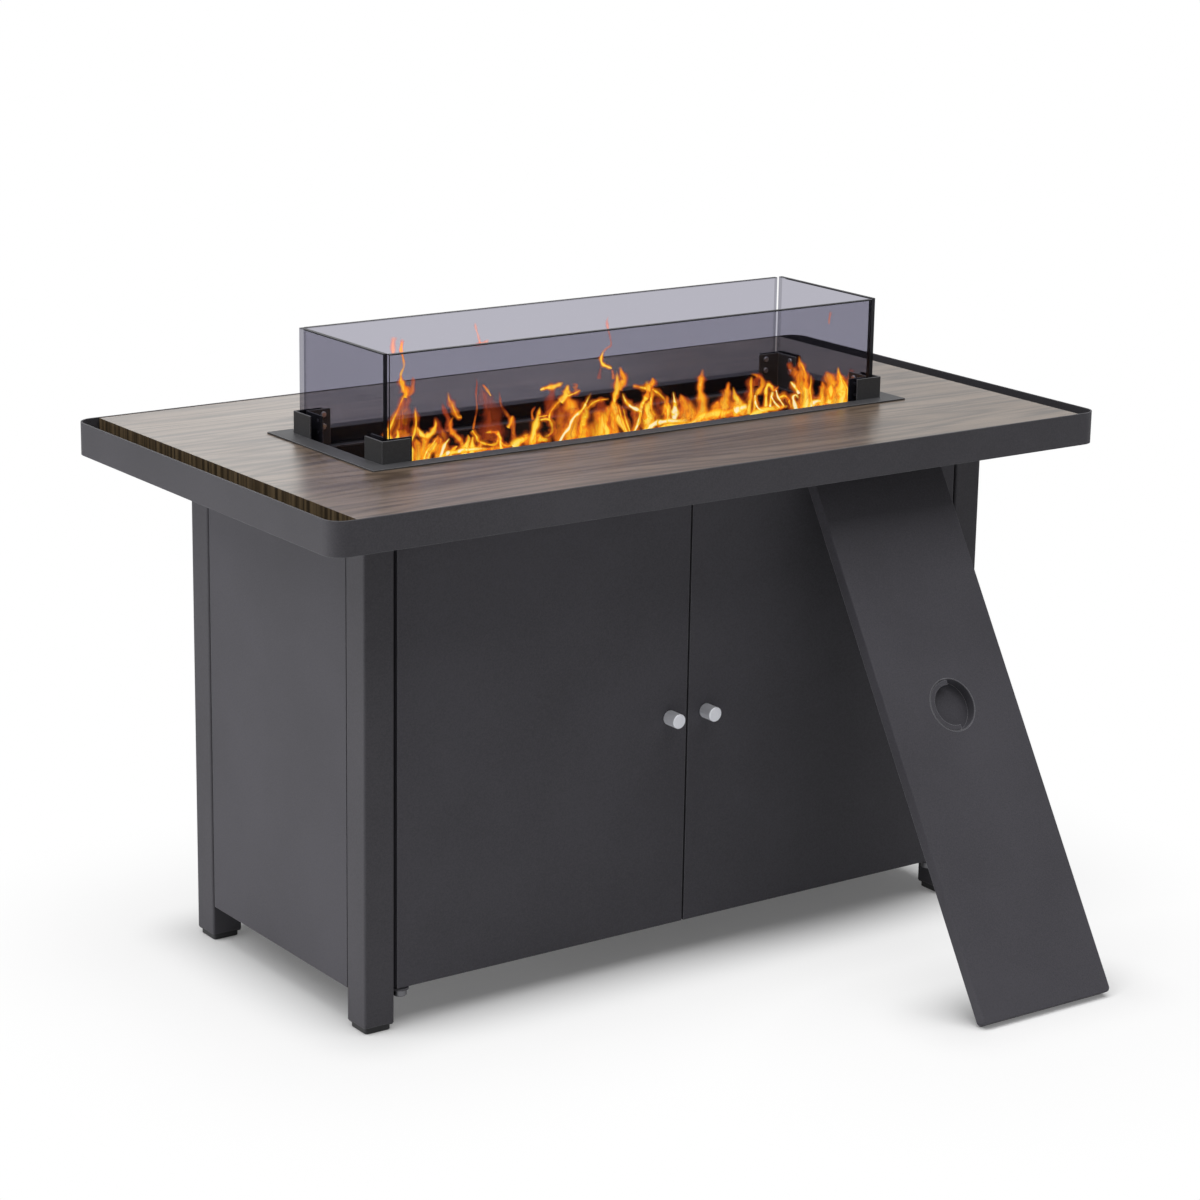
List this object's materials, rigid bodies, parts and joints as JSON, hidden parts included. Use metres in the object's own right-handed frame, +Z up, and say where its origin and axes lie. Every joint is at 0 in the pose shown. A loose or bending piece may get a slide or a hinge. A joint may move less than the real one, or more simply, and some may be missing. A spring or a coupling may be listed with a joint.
{
  "type": "gas fire pit table",
  "caption": "Rectangular gas fire pit table with a wood-grain top, long burner in a smoked-glass guard, two-door cabinet and a burner lid leaning on its front.",
  "frame": {"origin": "on the ground under the middle of the whole part's bounding box, the leaning lid counted in; the table's own middle is 139.0 mm behind it", "axes": "+X to the right along the table's length, +Y to the back, +Z up"},
  "size_m": [1.11, 0.883, 0.7715],
  "materials": {
    "frame_powder_coat": "fine-textured charcoal powder coat",
    "panel_powder_coat": "fine-textured charcoal powder coat",
    "lid_powder_coat": "fine-textured charcoal powder coat",
    "wood_grain_sheet": "walnut wood-grain finish on sheet metal",
    "burner_trim_coat": "satin dark grey coat",
    "heat_black_steel": "matt heat-proof black",
    "stainless_steel": "brushed stainless, heat-tinted",
    "bright_screws": "bright plated steel",
    "hinge_steel": "blackened steel",
    "satin_aluminium": "satin anodised",
    "brass": "plain turned brass",
    "black_plastic": "moulded matt black",
    "bumper_rubber": "black rubber",
    "electrode_ceramic": "white ceramic",
    "smoked_glass": "smoked grey tempered glass, polished edges"
  },
  "bodies": {
    "cabinet": {"post_front_right": "frame_powder_coat", "post_front_left": "frame_powder_coat", "post_back_right": "frame_powder_coat", "post_back_left": "frame_powder_coat", "top_rail_front": "frame_powder_coat", "top_rail_back": "frame_powder_coat", "top_rail_right": "frame_powder_coat", "top_rail_left": "frame_powder_coat", "bottom_rail_front": "frame_powder_coat", "bottom_rail_back": "frame_powder_coat", "bottom_rail_right": "frame_powder_coat", "bottom_rail_left": "frame_powder_coat", "hinge_plates": "frame_powder_coat", "rim_frame": "frame_powder_coat", "control_bracket": "frame_powder_coat", "side_panel_right": "panel_powder_coat", "side_panel_left": "panel_powder_coat", "back_panel": "panel_powder_coat", "floor_panel": "panel_powder_coat", "tank_ring": "panel_powder_coat", "tabletop_panel": "wood_grain_sheet", "burner_trim": "burner_trim_coat", "burner_pan": "heat_black_steel", "burner_clips": "heat_black_steel", "burner_tube": "stainless_steel", "air_mixer": "stainless_steel", "panel_screws": "bright_screws", "hinge_pins": "hinge_steel", "tabletop_screws": "hinge_steel", "gas_pipe": "satin_aluminium", "gas_valve": "brass", "valve_inlet": "brass", "pipe_nuts": "brass", "foot_pads": "black_plastic", "igniter_body": "black_plastic", "magnet_catches": "black_plastic", "door_bumpers": "bumper_rubber", "electrode": "electrode_ceramic"},
    "left_door": {"left_door": "panel_powder_coat", "left_door_knob": "satin_aluminium", "left_knob_screw": "bright_screws", "left_door_bushes": "black_plastic", "left_door_strike": "hinge_steel"},
    "right_door": {"right_door": "panel_powder_coat", "right_door_knob": "satin_aluminium", "right_knob_screw": "bright_screws", "right_door_bushes": "black_plastic", "right_door_strike": "hinge_steel"},
    "control_dial": {"control_dial": "black_plastic", "valve_stem": "brass"},
    "igniter_button": {"igniter_button": "black_plastic"},
    "wind_guard": {"glass_front": "smoked_glass", "glass_back": "smoked_glass", "glass_right": "smoked_glass", "glass_left": "smoked_glass", "guard_brackets": "burner_trim_coat", "guard_screws": "bright_screws"},
    "lid": {"lid_panel": "lid_powder_coat", "pull_cup": "lid_powder_coat"},
    "pull_bail": {"pull_bail": "lid_powder_coat"}
  },
  "joints": [
    {"name": "left_door_hinge", "type": "hinge", "parent": "cabinet", "child": "left_door", "pos_m": [-0.402, -0.05248, 0.3], "axis": [0, 0, -1], "range_deg": [0, 95]},
    {"name": "right_door_hinge", "type": "hinge", "parent": "cabinet", "child": "right_door", "pos_m": [0.402, -0.05248, 0.3], "axis": [0, 0, 1], "range_deg": [0, 95]},
    {"name": "dial_turn", "type": "hinge", "parent": "cabinet", "child": "control_dial", "pos_m": [-0.3, -0.01098, 0.53], "axis": [0, -1, 0], "range_deg": [0, 180]},
    {"name": "igniter_press", "type": "slide", "parent": "cabinet", "child": "igniter_button", "axis": [0, 1, 0], "range_m": [0, 0.005], "stiffness_N_per_m": 700, "springref_m": -0.004},
    {"name": "guard_lift", "type": "slide", "parent": "cabinet", "child": "wind_guard", "axis": [0, 0, 1], "range_m": [0, 0.2]},
    {"name": "lid_draw_out", "type": "hinge", "parent": "cabinet", "child": "lid", "pos_m": [0.2584, -0.42841, 1.15], "axis": [-1, 0.0087, 0], "range_deg": [0, 60]},
    {"name": "bail_swing", "type": "hinge", "parent": "lid", "child": "pull_bail", "pos_m": [0.26002, -0.24272, 0.32948], "axis": [0.0045, 0.5195, 0.8545], "range_deg": [0, 90]}
  ],
  "couplings": [
    {"joint": "lid_draw_out", "follows": "right_door_hinge", "ratio": 0.6315}
  ]
}
